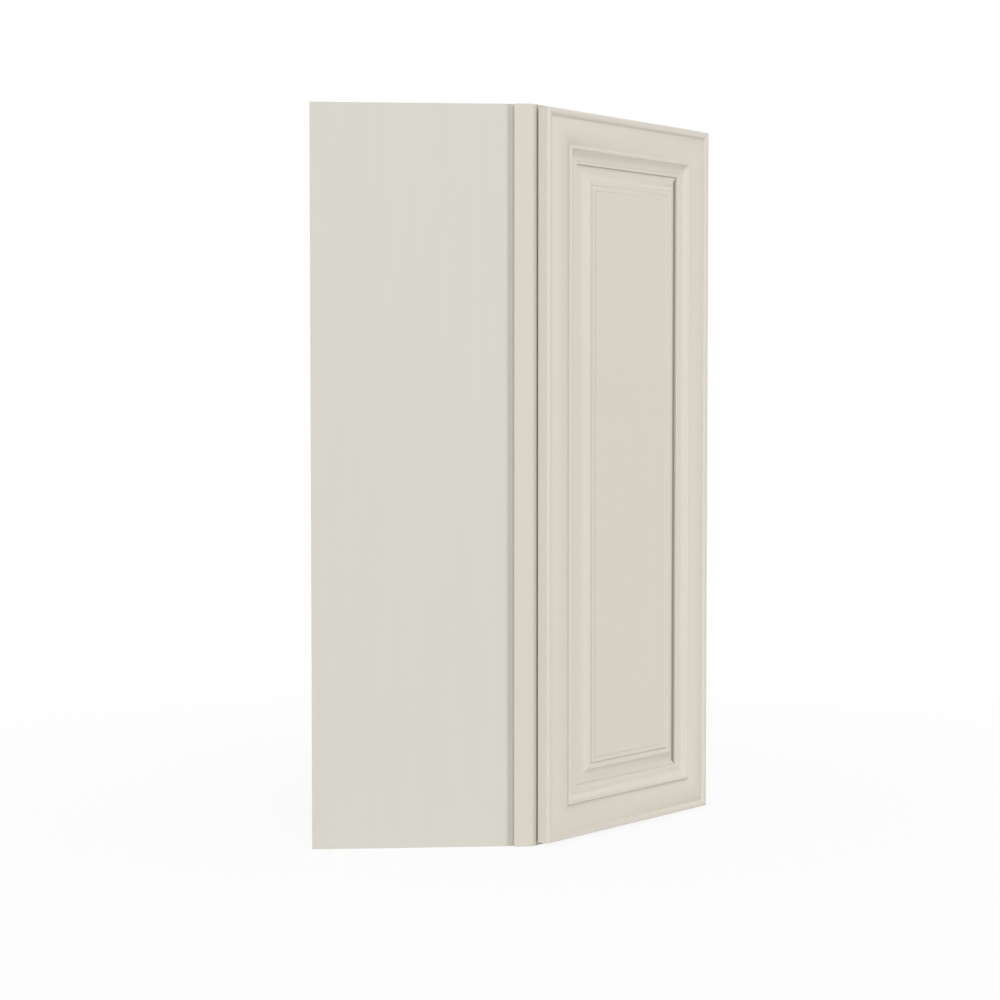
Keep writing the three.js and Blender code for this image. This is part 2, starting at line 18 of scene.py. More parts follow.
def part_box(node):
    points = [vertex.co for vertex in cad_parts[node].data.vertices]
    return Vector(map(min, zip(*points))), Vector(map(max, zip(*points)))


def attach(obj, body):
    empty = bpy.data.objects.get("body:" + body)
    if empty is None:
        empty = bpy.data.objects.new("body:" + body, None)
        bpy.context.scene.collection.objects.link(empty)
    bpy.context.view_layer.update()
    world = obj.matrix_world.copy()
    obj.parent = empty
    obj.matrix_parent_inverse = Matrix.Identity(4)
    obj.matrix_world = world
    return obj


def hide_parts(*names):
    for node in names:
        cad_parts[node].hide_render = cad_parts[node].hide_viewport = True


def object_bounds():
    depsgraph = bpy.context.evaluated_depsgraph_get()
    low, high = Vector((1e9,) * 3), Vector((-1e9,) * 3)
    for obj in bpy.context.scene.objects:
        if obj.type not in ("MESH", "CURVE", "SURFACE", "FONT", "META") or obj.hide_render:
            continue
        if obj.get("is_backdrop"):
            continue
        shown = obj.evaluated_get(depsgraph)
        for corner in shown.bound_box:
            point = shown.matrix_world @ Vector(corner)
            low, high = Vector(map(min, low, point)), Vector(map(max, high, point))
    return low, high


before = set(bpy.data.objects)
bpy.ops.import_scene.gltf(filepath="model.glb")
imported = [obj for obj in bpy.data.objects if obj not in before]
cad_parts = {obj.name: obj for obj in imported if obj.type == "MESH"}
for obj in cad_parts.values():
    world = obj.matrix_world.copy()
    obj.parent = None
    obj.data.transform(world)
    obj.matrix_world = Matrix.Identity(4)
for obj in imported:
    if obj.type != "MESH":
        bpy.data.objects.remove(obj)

MM = 0.001
cad_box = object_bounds()
print("pieces loaded:", len(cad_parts))
print("whole cabinet:", [round(high - low, 4) for low, high in zip(*cad_box)])

# %% [markdown]
# ## Directions and sizes
#
# The door stands across the corner at 45 degrees, so plain X and Y are no help in describing it. Three
# directions are: along the diagonal from its left end, out of the door, and up. A piece of the frame then
# has a least and a greatest distance along each of them, and every size below is read off like that, so
# that nothing has to be measured twice.

# %% Three directions, and how far a piece reaches along one
ALONG = Vector((1, 1, 0)).normalized()
OUT = Vector((1, -1, 0)).normalized()
UP = Vector((0, 0, 1))


def reach(node, direction):
    """The least and greatest distance of a piece along a direction."""
    distances = [corner.co.dot(direction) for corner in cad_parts[node].data.vertices]
    return min(distances), max(distances)


door_left = reach("door_left_stile", ALONG)[0]
door_right = reach("door_right_stile", ALONG)[1]
door_low = reach("door_bottom_rail", UP)[0]
door_high = reach("door_top_rail", UP)[1]
door_back, door_front = reach("door_left_stile", OUT)
door_width = door_right - door_left
door_height = door_high - door_low
print(f"door {door_width:.4f} wide, {door_height:.4f} high, {door_front - door_back:.4f} thick")

# %% [markdown]
# ## Camera
#
# The photograph looks almost level at the cabinet from well back, a little to its left, with a long lens,
# so that upright edges stay upright and the door is seen at a slant. A picture a thousand units wide has
# its focal length in the same units; the lens in millimetres follows from the width of the sensor.

# %% The camera
IMAGE_WIDTH = 1000
FOCAL_LENGTH = 2162  # in widths of a pixel
SENSOR_WIDTH = 36
CAMERA_PLACE = (-0.2847, -3.3888, 0.6386)
LEVEL = 90  # degrees that a camera is tipped up, from looking straight down, to look level
DOWNWARD = 2.53
RIGHTWARD = 4.55

bpy.ops.object.camera_add(location=CAMERA_PLACE)
camera = bpy.context.object
camera.rotation_euler = (math.radians(LEVEL - DOWNWARD), 0, math.radians(-RIGHTWARD))
camera.data.sensor_width = SENSOR_WIDTH
camera.data.lens = FOCAL_LENGTH / IMAGE_WIDTH * SENSOR_WIDTH
bpy.context.scene.camera = camera
bpy.context.scene.view_settings.view_transform = "Standard"
print(f"lens {camera.data.lens:.1f} mm")

# %% [markdown]
# ## Sums in a shader
#
# A finish is mostly arithmetic: how far a point lies from an edge, how dark a fibre is there. Blender does
# that with nodes, and a sum of ten terms is ten nodes. The class below stands for one output of a node and
# takes plus, minus, times and divide, so that the sum can be written as a sum. Its method `node` adds any
# other node. The settings go in first, such as the operation of a Math node, because they decide which
# sockets the node has, and then the sockets get their numbers or links.


# %% A socket that can be added, scaled and compared
class Reading:
    """A number, vector or colour that changes over a surface: one output of a shader node."""

    def __init__(self, tree, output=None):
        self.tree = tree
        self.output = output

    def node(self, kind, settings=None, inputs=None, output=0):
        """Adds a node of any kind: first its settings, then the values or links of its sockets."""
        made = self.tree.nodes.new("ShaderNode" + kind)
        for name, value in (settings or {}).items():
            setattr(made, name, value)
        for name, value in (inputs or {}).items():
            if isinstance(value, Reading):
                self.tree.links.new(value.output, made.inputs[name])
            else:
                made.inputs[name].default_value = value
        return Reading(self.tree, made.outputs[output])

    def maths(self, operation, *terms, clamp=False):
        """Adds a Math node; its terms are readings or numbers."""
        settings = {"operation": operation, "use_clamp": clamp}
        return self.node("Math", settings, dict(enumerate(terms)))

    def __add__(self, other):
        return self.maths("ADD", self, other)

    def __radd__(self, other):
        return self.maths("ADD", other, self)

    def __sub__(self, other):
        return self.maths("SUBTRACT", self, other)

    def __rsub__(self, other):
        return self.maths("SUBTRACT", other, self)

    def __mul__(self, other):
        return self.maths("MULTIPLY", self, other)

    def __rmul__(self, other):
        return self.maths("MULTIPLY", other, self)

    def __truediv__(self, other):
        return self.maths("DIVIDE", self, other)

    def __rtruediv__(self, other):
        return self.maths("DIVIDE", other, self)

    def __abs__(self):
        return self.maths("ABSOLUTE", self)

    def sine(self):
        return self.maths("SINE", self)

    def lesser(self, other):
        return self.maths("MINIMUM", self, other)

    def between_0_and_1(self):
        return self.maths("ADD", self, 0.0, clamp=True)

    def dot(self, direction):
        return self.node("VectorMath", {"operation": "DOT_PRODUCT"}, {0: self, 1: direction}, "Value")

    def stretched(self, factors):
        return self.node("VectorMath", {"operation": "MULTIPLY"}, {0: self, 1: factors})

    def noise(self, scale, detail=2.0, roughness=0.5):
        inputs = {"Vector": self, "Scale": scale, "Detail": detail, "Roughness": roughness}
        return self.node("TexNoise", {"noise_dimensions": "3D"}, inputs)

    def mixed(self, first, second):
        """From one colour to another, by this number."""
        inputs = {"Factor": self, 6: first, 7: second}
        return self.node("Mix", {"data_type": "RGBA"}, inputs, 2)


# %% [markdown]
# A material starts as the standard surface shader. `finish` makes one and hands back the place on the
# piece as a reading, with a function that plugs readings or plain numbers into the shader. Colours are
# written as the hexadecimal numbers that a colour picker shows, and turned into the light values that
# Blender works with.


# %% Starting a material, and writing a colour
def colour(picked):
    """A colour as a picker shows it, such as 0xE2DDD1, as light values."""
    shares = [(picked >> shift & 255) / 255 for shift in (16, 8, 0)]
    light = [share / 12.92 if share < 0.04045 else ((share + 0.055) / 1.055) ** 2.4 for share in shares]
    return (*light, 1)


def finish(name):
    """A new material: its shader's sockets are set by the function, from readings or numbers."""
    material = bpy.data.materials.new(name)
    material.use_nodes = True
    tree = material.node_tree
    shader = tree.nodes["Principled BSDF"]
    place = Reading(tree).node("TexCoord", output="Object")

    def set_sockets(relief=None, **sockets):
        for socket, value in sockets.items():
            target = shader.inputs[socket.replace("_", " ")]
            if isinstance(value, Reading):
                tree.links.new(value.output, target)
            else:
                target.default_value = value
        if relief:
            height, depth = relief
            bump = place.node("Bump", None, {"Height": height, "Distance": depth, "Strength": 1.0})
            tree.links.new(bump.output, shader.inputs["Normal"])

    return material, place, set_sockets


# %% [markdown]
# ## Satin cream paint
#
# The door and its frame are sprayed with a satin cream lacquer. Seen close, such a film is not quite flat:
# it dries with a fine pebbled skin and swells a little over long distances. Shade is painted into the
# quirks of the mouldings as a darker, warmer colour. One material per painted piece would be too many, and
# a picture of paint would stretch over the mouldings. So the pattern is worked out from the place on the
# piece. The skin and the swell are noise at two scales. The painted shade needs to know where the creases
# are: they all run parallel to the door's edges, so the distance in from the nearest edge tells which
# crease it is. Which of the four edges is nearest tells how much shade is painted, because light doesn't
# fall the same all round.

# %% Distance in from the door's edge, and the creases that run along it
CREAM = 0xE0DACE
# colour of the painted shade, in the creases and beside the door's left edge
CREAM_SHADE = 0x6A6350
PLAIN_BACK = 6 * MM  # depth of the door, from its back, that has no creases
# Painted shade in the creases: how far in each crease runs, its half width, and its share of the deeper
# colour at the left, right, bottom and top, which differs as light falls. The painted shade is darkest in
# the valley at the right and along the top. The valley at the right is broad: two creases that overlap make
# it.
CREASE_SHADES = [
    (10.9 * MM, 0.9 * MM, (0.05, 0.05, 0.12, 0.08)),
    (49.0 * MM, 1.6 * MM, (0.2, 0.04, 0.22, 0.02)),
    (75.0 * MM, 1.0 * MM, (0.05, 0.0, 0.02, 0.35)),
    (78.2 * MM, 3.2 * MM, (0.0, 0.85, 0.0, 0.0)),
    (81.4 * MM, 3.2 * MM, (0.0, 0.75, 0.0, 0.0)),
    (104.4 * MM, 1.4 * MM, (0.3, 0.0, 0.4, 0.0)),
    (112.0 * MM, 1.4 * MM, (0.26, 0.0, 0.0, 0.0)),
]


def door_distances(place):
    """How far the place is in from the left, right, bottom and top edge of the door."""
    across, height = place.dot(ALONG), place.dot(UP)
    return across - door_left, door_right - across, height - door_low, door_high - height


def total(readings):
    """The sum of several readings."""
    first, *others = readings
    return sum(others, first)


def crease(distance, centre, width):
    """1 in the middle of a band of painted shade, such as a crease, falling to 0 at its width on either
    side.
    """
    return (1 - abs(distance - centre) / width).between_0_and_1()


print("innermost crease:", CREASE_SHADES[-1][0] / MM, "mm in from the edge")

# %% The paint
PEBBLES = 900  # per metre
PEBBLE_DEPTH = 0.012 * MM
SWELLS = 14
SWELL_HEIGHT = 9  # in pebble depths
CLOUDS = 5
SATIN = 0.36  # roughness
# the door's cream made darker: painted shade, because the lamps light the frame's face more than the door's
FRAME_CREAM_SHADED = 0xD8D2C6
REVEAL_SHADE = 2.5 * MM  # half width of the shade behind the door's left edge
REVEAL_SHARE = 0.6  # of the deeper colour in its middle


def paint(name, light, deep, shading):
    """Satin paint; shading turns the place on the piece into the share of the deeper colour: painted shade,
    and on the sides grain streaks too.
    """
    material, place, set_sockets = finish(name)
    pebbles = place.noise(PEBBLES, detail=1)
    swell = place.noise(SWELLS, detail=1)
    clouds = place.noise(CLOUDS)
    shade = 0.02 * clouds + shading(place)
    set_sockets(
        Base_Color=shade.between_0_and_1().mixed(colour(light), colour(deep)),
        Roughness=SATIN + 0.1 * clouds + 0.04 * pebbles,
        relief=(pebbles + SWELL_HEIGHT * swell, PEBBLE_DEPTH),
    )
    return material


def door_crease_shade(place):
    """Painted shade in the creases of the door's front, each with its own share beside each edge, as light
    falls there.
    """
    left, right, low, high = distances = door_distances(place)
    inset = left.lesser(right).lesser(low.lesser(high))
    beside = [(1 - (distance - inset) / MM).between_0_and_1() for distance in distances]
    in_front = ((place.dot(OUT) - door_back - PLAIN_BACK) / MM).between_0_and_1()
    return in_front * total(
        crease(inset, centre, width) * total(share * here for share, here in zip(shares, beside) if share)
        for centre, width, shares in CREASE_SHADES
    )


door_paint = paint("door_cream", CREAM, CREAM_SHADE, door_crease_shade)


def frame_gap(place):
    """Shade on the frame along the gap that the door's left edge leaves."""
    return REVEAL_SHARE * crease(place.dot(ALONG), door_left + REVEAL_SHADE / 2, REVEAL_SHADE)


frame_paint = paint("frame_cream", FRAME_CREAM_SHADED, CREAM_SHADE, frame_gap)
print("paints:", door_paint.name, frame_paint.name)


# %% [markdown]
# ## Painted plywood
#
# The sides of the box are plywood with a greyer coat. The grain shows through faintly as upright streaks.
# Beside the face frame runs a shadow gap, a shallow rabbet, and shade is painted into the coat along it. It
# lies at a fixed distance behind the face of the frame on both sides, so that distance alone finds it.

# %% The sides' paint
GREY = 0xD8D5CC
# deeper grey, for the grain streaks and for the painted shade in the gap
GREY_DEEP = 0x8F8E86
STREAKS = 60  # per metre across the grain
UPRIGHT = (1, 1, 0.08)  # a streak is longer than it is wide
STREAK_SHARE = 0.07
SHADOW_GAP = 6.8 * MM  # middle of the rabbet, behind the edge of the frame
SHADOW_REACH = 4.8 * MM
SHADOW_SHARE = 0.28
FRAME_PROUD = 4.8 * MM  # edge of the face frame, in front of the side
frame_back, frame_front = reach("frame_left_stile", OUT)
gap_middle = frame_back - (SHADOW_GAP + FRAME_PROUD) * ALONG.x


def side_streaks_and_shade(place):
    """Share of the deeper grey on a side: faint grain streaks, and painted shade in the gap beside the face
    frame.
    """
    streaks = place.stretched(UPRIGHT).noise(STREAKS, detail=3)
    # painted shade along the rabbet beside the face frame
    gap = (2 * crease(place.dot(OUT), gap_middle, SHADOW_REACH * ALONG.x)).between_0_and_1()
    return STREAK_SHARE * streaks + SHADOW_SHARE * gap


side_paint = paint("side_grey", GREY, GREY_DEEP, side_streaks_and_shade)
print(f"shadow gap {(frame_front - gap_middle) / MM:.1f} mm behind the face")

# %% [markdown]
# ## Birch plywood
#
# Inside, the boards are clear-finished birch plywood. Its face is peeled from the log, so the figure is
# broad and wavering, like the contour lines of a low hill stretched along the grain, over fine fibres and
# short dark pores. Contour lines are easily had: the sine of a smooth noise makes them. Its edge shows the
# plies, by turns along the grain and across it, with a dark glue line between. Both patterns have to follow
# each board's own grain, so each board gets a map called grain: metres along the grain and across it on a
# face, and metres along the edge and through the board on an edge.

# %% Face and edge of the plywood
BIRCH = 0xE6D2AF
BIRCH_DEEP = 0xC4A068
GLUE = 0x8A6A44
PLY = 1.41 * MM
PLY_EDGE = 4  # how sharply one ply gives way to the next
GLUE_EDGE = 5  # the greater, the narrower is the glue line between them
# Noise per metre, along the grain and across it.
FIGURE = (0.9, 7, 1)
FIBRES = (14, 700, 1)
PORES = (70, 1900, 1)
EDGE_FIBRES = (900, 1500, 1)
CONTOURS = 34  # how closely the figure's lines follow each other
PORE_LEVEL = 0.64  # of the noise, above which a pore begins
PORE_EDGE = 9  # how sharply it begins


def on_grain(place):
    """The place on a board's own map instead of the place in the cabinet."""
    return place.node("UVMap", {"uv_map": "grain"})


def birch_face():
    """The face of a board: figure, fibres and pores."""
    material, place, set_sockets = finish("birch_face")
    grain = on_grain(place)
    hill = grain.stretched(FIGURE).noise(1, detail=2.5, roughness=0.4)
    contours = 0.5 + 0.5 * (CONTOURS * hill).sine()
    fibres = grain.stretched(FIBRES).noise(1, detail=2)
    pores = ((grain.stretched(PORES).noise(1) - PORE_LEVEL) * PORE_EDGE).between_0_and_1()
    shade = 0.26 * contours + 0.5 * fibres + 0.22 * pores
    set_sockets(
        Base_Color=shade.between_0_and_1().mixed(colour(BIRCH), colour(BIRCH_DEEP)),
        Roughness=0.4 + 0.14 * fibres,
        relief=(fibres - 0.6 * pores, 0.02 * MM),
    )
    return material


def birch_edge():
    """The edge of a board: its plies, with a glue line between each two."""
    material, place, set_sockets = finish("birch_edge")
    grain = on_grain(place)
    through = grain.dot((0, 1, 0))
    turn = (through * (math.pi / PLY)).sine()
    across_grain = (0.5 + PLY_EDGE * turn).between_0_and_1()
    glue_line = (1 - GLUE_EDGE * abs(turn)).between_0_and_1()
    fibres = grain.stretched(EDGE_FIBRES).noise(1, detail=2)
    wood = (0.25 * across_grain + 0.6 * fibres).between_0_and_1().mixed(colour(BIRCH), colour(BIRCH_DEEP))
    set_sockets(
        Base_Color=(0.6 * glue_line).mixed(wood, colour(GLUE)),
        Roughness=0.55 + 0.15 * fibres,
        relief=(fibres - glue_line, 0.03 * MM),
    )
    return material


plywood_face = birch_face()
plywood_edge = birch_edge()
print("plywood:", plywood_face.name, plywood_edge.name)

# %% [markdown]
# ## Nickel and clear plastic
#
# The hinges, their screws and the shelf pegs are nickel-plated steel. Plating is bright but never quite
# even: pressing and tumbling leave a soft haze and fine scuffs, so its roughness wanders. The bumpers are
# drops of clear soft plastic, which let light through and are a little cloudy inside.

# %% Nickel, brighter or duller, and the bumpers' plastic
NICKEL = 0xD6D3CC
NICKEL_DULL = 0xBDBAB4
HAZE = 160  # per metre
SCUFFS = 1500
PLASTIC = 0xF2F3F1
PLASTIC_CLOUDY = 0xDADCDA
CLOUDINESS = 700


def nickel(name, roughness):
    """Nickel plating with a soft haze and fine scuffs."""
    material, place, set_sockets = finish(name)
    haze = place.noise(HAZE, detail=2)
    scuffs = place.stretched((1, 1, 6)).noise(SCUFFS, detail=1)
    set_sockets(
        Base_Color=haze.mixed(colour(NICKEL), colour(NICKEL_DULL)),
        Metallic=1.0,
        Roughness=roughness + 0.16 * haze + 0.06 * scuffs,
        relief=(scuffs, 0.006 * MM),
    )
    return material


def soft_plastic():
    """Clear plastic, a little cloudy."""
    material, place, set_sockets = finish("soft_plastic")
    cloud = place.noise(CLOUDINESS)
    set_sockets(
        Base_Color=cloud.mixed(colour(PLASTIC), colour(PLASTIC_CLOUDY)),
        Roughness=0.12 + 0.2 * cloud,
        Transmission_Weight=0.7,
        IOR=1.47,
    )
    return material


hinge_nickel = nickel("hinge_nickel", roughness=0.16)
screw_nickel = nickel("screw_nickel", roughness=0.24)
clear_plastic = soft_plastic()
print("metals:", hinge_nickel.name, screw_nickel.name)

# %% [markdown]
# ## Modelling by hand, in code
#
# Each new piece starts as a plane, circle or cube and is shaped in edit mode with the tools of Blender's
# mesh menu. Two things differ from working by hand. A click that selects a face becomes a test on the
# face's place or normal, and an operator acts on everything selected, so each step says what it selects.


# %% Opening a new piece, and selecting in it
HAIR = 1e-6  # two places nearer than this are the same
FLAT = math.radians(1)  # faces that meet at less than this angle are one
SHARP = math.radians(40)  # edges with a greater angle than this get rounded


def open_piece(name, add_primitive, **settings):
    """Adds a primitive, selected all over, and opens it in edit mode."""
    bpy.ops.object.select_all(action="DESELECT")
    add_primitive(**settings)
    piece = bpy.context.object
    piece.name = piece.data.name = name
    bpy.ops.object.mode_set(mode="EDIT")
    return piece


def select(kind, test):
    """In edit mode, selects the verts, edges or faces that pass a test, and nothing else."""
    bpy.ops.mesh.select_all(action="DESELECT")
    bpy.ops.mesh.select_mode(type={"verts": "VERT", "edges": "EDGE", "faces": "FACE"}[kind])
    drawn = bmesh.from_edit_mesh(bpy.context.object.data)
    for element in getattr(drawn, kind):
        element.select_set(bool(test(element)))
    drawn.select_flush_mode()
    bmesh.update_edit_mesh(bpy.context.object.data)


def lift(distance):
    """Extrudes what is selected along Z."""
    bpy.ops.mesh.extrude_region_move(TRANSFORM_OT_translate={"value": (0, 0, distance)})


def scale_about_axis(x, y):
    """Scales what is selected towards or away from the Z axis."""
    bpy.ops.transform.resize(value=(x, y, 1), center_override=(0, 0, 0))


# %% Finishing a piece
def make_only(piece):
    """Selects this piece and nothing else."""
    bpy.ops.object.select_all(action="DESELECT")
    piece.select_set(True)
    bpy.context.view_layer.objects.active = piece


def modify(piece, kind, **settings):
    """Adds a modifier and applies it."""
    modifier = piece.modifiers.new(kind, kind)
    for name, value in settings.items():
        setattr(modifier, name, value)
    bpy.ops.object.modifier_apply(modifier=modifier.name)


def close_piece(piece, material, body, slot, *nodes, smooth=35):
    """Shades the piece, gives it its finish and its body, and lets it stand for pieces of the frame."""
    make_only(piece)
    bpy.ops.object.shade_smooth_by_angle(angle=math.radians(smooth))
    modify(piece, "WEIGHTED_NORMAL", keep_sharp=True)
    if material:
        piece.data.materials.clear()
        piece.data.materials.append(material)
    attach(piece, body)
    if nodes:
        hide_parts(*nodes)
    print(piece.name, len(piece.data.polygons), "faces")


# %% [markdown]
# ## The door's frame
#
# On the real door four moulded members are mitred, glued and sprayed over, so no joint shows. Four
# separate bars would bring the mitres back as dark lines. Instead the whole frame is one plane, laid flat
# like a door on a bench, that is inset and lifted again and again: each inset runs parallel to all four
# edges at once and turns the corners in a mitre by itself. The moulding is then a walk inward from the
# edge: a bead, a quirk, the broad cushion, a second quirk, a ridge that falls as an ogee to a small fillet,
# and the lip that holds the panel. Curves are walked in short steps.


# %% A walk along a moulding
def curve(*corners, steps=8):
    """Points of a smooth curve between two points, drawn by two more, all in millimetres."""
    return [point * MM for point in interpolate_bezier(*map(Vector, corners), steps + 1)[1:]]


def walk(points):
    """Insets and lifts the selected face from each point to the next, each an inset and a height."""
    for here, there in zip(points, points[1:]):
        inward, upward = there - here
        if inward > HAIR:
            bpy.ops.mesh.inset(thickness=inward, depth=upward)
        else:
            lift(upward)


MEMBER_WIDTH = 75 * MM
LIP = 4 * MM  # thickness behind the panel's groove
GROOVE = 5.7 * MM
GROOVE_DEPTH = 10 * MM

moulding = [
    Vector((0, 0)),
    Vector((0, 15.4 * MM)),
    *curve((0, 15.4), (0, 17.9), (1.4, 19.1), (4.2, 19.1)),
    *curve((4.2, 19.1), (6.6, 19.1), (9.0, 18.2), (10.2, 15.4), steps=6),
    Vector((11.6 * MM, 15.2 * MM)),
    *curve((11.6, 15.2), (17.0, 18.0), (23.0, 19.6), (30.0, 19.6)),
    *curve((30.0, 19.6), (37.0, 19.6), (43.0, 18.2), (48.2, 15.6)),
    Vector((49.4 * MM, 15.6 * MM)),
    *curve((49.4, 15.6), (49.8, 18.0), (50.8, 19.6), (52.4, 19.6)),
    *curve((52.4, 19.6), (53.8, 19.6), (54.8, 19.0), (55.6, 17.8), steps=6),
    *curve((55.6, 17.8), (58.4, 14.4), (61.6, 11.6), (66.4, 11.6), steps=12),
    *curve((66.4, 11.6), (67.8, 11.6), (68.8, 11.8), (69.6, 12.2)),
    Vector((69.9 * MM, 11.6 * MM)),
    Vector((74.2 * MM, 11.6 * MM)),
    Vector((MEMBER_WIDTH, 10.8 * MM)),
    Vector((MEMBER_WIDTH, LIP + GROOVE)),
]
print("points of the moulding:", len(moulding))


# %% The frame of the door, lying flat with its back on the bench
def hollow_out():
    """Deletes the faces that close the opening and joins the two edges that this leaves."""
    select("faces", lambda face: face.calc_center_median().length < HAIR)
    bpy.ops.mesh.delete(type="FACE")
    select("edges", lambda edge: edge.is_boundary)
    bpy.ops.mesh.bridge_edge_loops()
    bpy.ops.mesh.select_all(action="SELECT")
    bpy.ops.mesh.normals_make_consistent(inside=False)


def flat_plane(name, width, height):
    """Opens a plane of this size, its middle on the Z axis."""
    piece = open_piece(name, bpy.ops.mesh.primitive_plane_add, size=1)
    scale_about_axis(width, height)
    return piece


door_frame = flat_plane("door_frame", door_width, door_height)
walk(moulding)
opening = Vector((door_width, door_height)) - 2 * Vector((MEMBER_WIDTH, MEMBER_WIDTH))
groove = opening + 2 * Vector((GROOVE_DEPTH, GROOVE_DEPTH))
lift(0)
scale_about_axis(groove.x / opening.x, groove.y / opening.y)
lift(-GROOVE)
lift(0)
scale_about_axis(opening.x / groove.x, opening.y / groove.y)
lift(-LIP)
hollow_out()
bpy.ops.object.mode_set(mode="OBJECT")
print("door frame, lying flat:", len(door_frame.data.vertices), "corners")


# %% Stood up in the cabinet, bored for the hinges, its sharp arrises eased
def seat_at(place, axis):
    """The matrix that moves a piece to a place and turns its Z to the axis."""
    return Matrix.Translation(place) @ axis.to_track_quat("Z", "Y").to_matrix().to_4x4()


def stand_up(piece, along, out, height):
    """Turns a flat piece so that X runs along the diagonal, Y up and Z out, and moves it there."""
    turn = Matrix((ALONG, UP, OUT)).transposed().to_4x4()
    piece.matrix_world = Matrix.Translation(ALONG * along + OUT * out + UP * height) @ turn
    make_only(piece)
    bpy.ops.object.transform_apply(location=True, rotation=True, scale=True)


HINGES = ("lower", "middle", "upper")
SOFT_ARRIS = 0.35 * MM
FACET = math.radians(65)  # edges with a greater angle are arrises, the rest are steps of a curve
FLANGE_RADIUS = 18.7 * MM
BORE_RADIUS = 17.5 * MM
BORE_DEPTH = 13.3 * MM


def cup_centre(hinge):
    """Middle of a hinge cup at the back of the door."""
    along = reach(f"{hinge}_hinge_cup", ALONG)[1] - FLANGE_RADIUS
    height = sum(reach(f"{hinge}_hinge_cup", UP)) / 2
    return ALONG * along + OUT * door_back + UP * height


door_middle = (door_left + door_right) / 2, door_back, (door_low + door_high) / 2
stand_up(door_frame, *door_middle)
for hinge in HINGES:
    bpy.ops.mesh.primitive_cylinder_add(vertices=64, radius=BORE_RADIUS, depth=2 * BORE_DEPTH)
    bore = bpy.context.object
    bore.matrix_world = seat_at(cup_centre(hinge), OUT)
    bpy.context.view_layer.update()
    make_only(door_frame)
    modify(door_frame, "BOOLEAN", operation="DIFFERENCE", solver="EXACT", object=bore)
    bpy.data.objects.remove(bore)
modify(door_frame, "BEVEL", width=SOFT_ARRIS, segments=2, limit_method="ANGLE", angle_limit=FACET)
members = ["door_left_stile", "door_right_stile", "door_top_rail", "door_bottom_rail"]
close_piece(door_frame, door_paint, "door", "door_paint", *members)

# %% [markdown]
# ## The raised panel
#
# The panel floats in the frame's groove on a tongue, so that it can swell and shrink. Inward from the
# tongue it has a level margin, a slope that turns up steeply, two beads with a quirk after each, and the
# flat field. It is walked in the same way as the frame, starting from the tongue.

# %% The raised panel
PANEL_INSET = 66 * MM  # edge of the tongue, in from the door's edge
PANEL_BACK = 4.3 * MM
PANEL_MARGIN = 9.4 * MM  # front of the tongue and of the level margin
PANEL_ARRIS = 0.15 * MM

panel_profile = [
    Vector((PANEL_INSET, PANEL_BACK)),
    Vector((PANEL_INSET, PANEL_MARGIN)),
    Vector((81 * MM, PANEL_MARGIN)),
    *curve((82, 9.4), (88.0, 9.4), (92.6, 12.2), (95.4, 15.2), steps=12),
    *curve((95.4, 15.2), (96.4, 16.2), (97.4, 16.6), (99.2, 16.6)),
    *curve((99.2, 16.6), (101.0, 16.6), (102.6, 16.5), (103.3, 16.1), steps=6),
    Vector((104.0 * MM, 15.6 * MM)),
    Vector((105.3 * MM, 16.8 * MM)),
    *curve((105.3, 16.8), (107.1, 17.2), (109.1, 17.2), (110.9, 16.8)),
    Vector((111.6 * MM, 16.3 * MM)),
    Vector((112.8 * MM, 17.4 * MM)),
]

raised_panel = flat_plane("raised_panel", door_width - 2 * PANEL_INSET, door_height - 2 * PANEL_INSET)
bpy.ops.transform.translate(value=(0, 0, PANEL_BACK))
walk(panel_profile)
bpy.ops.object.mode_set(mode="OBJECT")
stand_up(raised_panel, *door_middle)
modify(raised_panel, "BEVEL", width=PANEL_ARRIS, segments=1, limit_method="ANGLE", angle_limit=FACET)
close_piece(raised_panel, door_paint, "door", "door_paint", "door_panel")

# %% [markdown]
# ## The face frame
#
# The face frame carries the door and hides the front edges of the box. Its outer edges are cut at 45
# degrees, so that they lie in line with the walls of the room, and its arrises are sanded round. Like the
# door's frame it is sprayed as one, so one piece stands for its four boards. It starts as the plane of
# its back, is lifted and narrowed to its front, and then inset and pushed through for the opening. The
# bevel tool rounds the edges of the front, selected by their height.

# %% The face frame
FRAME_WIDTH = 38.1 * MM
ARRIS = 1.6 * MM
BACK_ARRIS = 0.4 * MM
SQUARE = math.radians(50)  # finds the square edges and passes over the slanted and the rounded ones

frame_thickness = frame_front - frame_back
frame_left = reach("frame_left_stile", ALONG)[0] + frame_thickness
frame_right = reach("frame_right_stile", ALONG)[1] - frame_thickness
frame_height = reach("frame_left_stile", UP)[1]
face_width = frame_right - frame_left
back_width = face_width + 2 * frame_thickness

face_frame = flat_plane("face_frame", back_width, frame_height)
lift(frame_thickness)
scale_about_axis(face_width / back_width, 1)
bpy.ops.mesh.inset(thickness=FRAME_WIDTH, depth=0)
lift(-frame_thickness)
hollow_out()


def is_front_arris(edge):
    in_front = all(abs(end.co.z - frame_thickness) < HAIR for end in edge.verts)
    return in_front and edge.calc_face_angle() > SHARP


select("edges", is_front_arris)
bpy.ops.mesh.bevel(offset=ARRIS, segments=4, affect="EDGES")
bpy.ops.object.mode_set(mode="OBJECT")
stand_up(face_frame, (frame_left + frame_right) / 2, frame_back, frame_height / 2)
modify(face_frame, "BEVEL", width=BACK_ARRIS, segments=2, limit_method="ANGLE", angle_limit=SQUARE)
frame_boards = ["frame_left_stile", "frame_right_stile", "frame_top_rail", "frame_bottom_rail"]
close_piece(face_frame, frame_paint, "cabinet", "frame_paint", *frame_boards, smooth=30)

